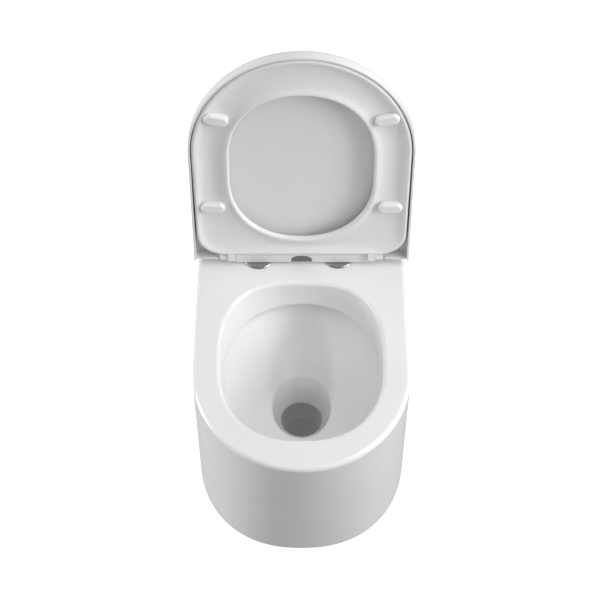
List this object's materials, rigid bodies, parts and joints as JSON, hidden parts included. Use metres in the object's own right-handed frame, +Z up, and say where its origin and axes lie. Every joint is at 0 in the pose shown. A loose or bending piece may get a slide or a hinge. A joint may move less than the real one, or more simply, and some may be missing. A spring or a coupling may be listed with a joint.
{
  "type": "toilet",
  "caption": "Back to wall floor standing toilet pan, rimless, with a soft close quick release seat and wrap over lid, both raised.",
  "frame": {"origin": "middle of the footprint, on the floor", "axes": "+Z up, +Y towards the wall behind the pan, -Y towards the user, +X to the right as the user faces the pan"},
  "size_m": [0.3712, 0.512, 0.848],
  "materials": {
    "ceramic": "glossy white glaze",
    "duroplast": "white, glossy thermoset",
    "buffer": "white, satin, soft",
    "hinge_plastic": "white, satin",
    "button_grey": "dark grey, satin",
    "chrome": "polished",
    "steel": "zinc plated",
    "nylon": "natural",
    "rubber": "black, matt",
    "pipe_plastic": "white, satin"
  },
  "bodies": {
    "pan": {"pan_body": "ceramic", "inlet_seal": "rubber", "outlet_connector": "pipe_plastic", "outlet_seal": "rubber", "hinge_bar": "hinge_plastic", "hinge_cover": "hinge_plastic", "button_spring": "steel", "left_floor_bracket": "steel", "left_floor_screw": "steel", "left_side_screw": "steel", "left_side_cap": "chrome", "left_hinge_bolt": "steel", "left_bolt_sleeve": "rubber", "left_wing_nut": "nylon", "left_hinge_post": "chrome", "left_damper": "nylon", "right_floor_bracket": "steel", "right_floor_screw": "steel", "right_side_screw": "steel", "right_side_cap": "chrome", "right_hinge_bolt": "steel", "right_bolt_sleeve": "rubber", "right_wing_nut": "nylon", "right_hinge_post": "chrome", "right_damper": "nylon"},
    "lid": {"lid": "duroplast", "left_hinge_pin": "steel", "left_front_lid_buffer": "buffer", "left_rear_lid_buffer": "buffer", "right_front_lid_buffer": "buffer", "right_rear_lid_buffer": "buffer"},
    "seat": {"seat_ring": "duroplast", "right_hinge_pin": "steel", "left_front_seat_buffer": "buffer", "left_rear_seat_buffer": "buffer", "right_front_seat_buffer": "buffer", "right_rear_seat_buffer": "buffer"},
    "button": {"release_button": "button_grey"},
    "left_latch_bar": {"left_latch": "nylon"},
    "right_latch_bar": {"right_latch": "nylon"},
    "left_disc": {"left_hinge_disc": "chrome"},
    "right_disc": {"right_hinge_disc": "chrome"}
  },
  "joints": [
    {"name": "lid_hinge", "type": "hinge", "parent": "pan", "child": "lid", "pos_m": [0, 0.171, 0.418], "axis": [1, 0, 0], "range_deg": [0, 98]},
    {"name": "seat_hinge", "type": "hinge", "parent": "lid", "child": "seat", "pos_m": [0, 0.171, 0.418], "axis": [-1, 0, 0], "range_deg": [-98, 0]},
    {"name": "release_press", "type": "slide", "parent": "pan", "child": "button", "axis": [0, 1, 0], "range_m": [0, 0.0015], "stiffness_N_per_m": 600, "springref_m": -0.001, "deforming": ["button_spring"]},
    {"name": "left_latch_slide", "type": "slide", "parent": "pan", "child": "left_latch_bar", "axis": [1, 0, 0], "range_m": [0, 0.0015]},
    {"name": "right_latch_slide", "type": "slide", "parent": "pan", "child": "right_latch_bar", "axis": [-1, 0, 0], "range_m": [0, 0.0015]},
    {"name": "left_disc_turn", "type": "hinge", "parent": "pan", "child": "left_disc", "pos_m": [-0.068, 0.171, 0.4003], "axis": [0, 0, 1], "range_deg": [-30, 30]},
    {"name": "right_disc_turn", "type": "hinge", "parent": "pan", "child": "right_disc", "pos_m": [0.068, 0.171, 0.4003], "axis": [0, 0, 1], "range_deg": [-30, 30]}
  ],
  "couplings": [
    {"joint": "left_latch_slide", "follows": "release_press", "ratio": 1},
    {"joint": "right_latch_slide", "follows": "release_press", "ratio": 1}
  ]
}
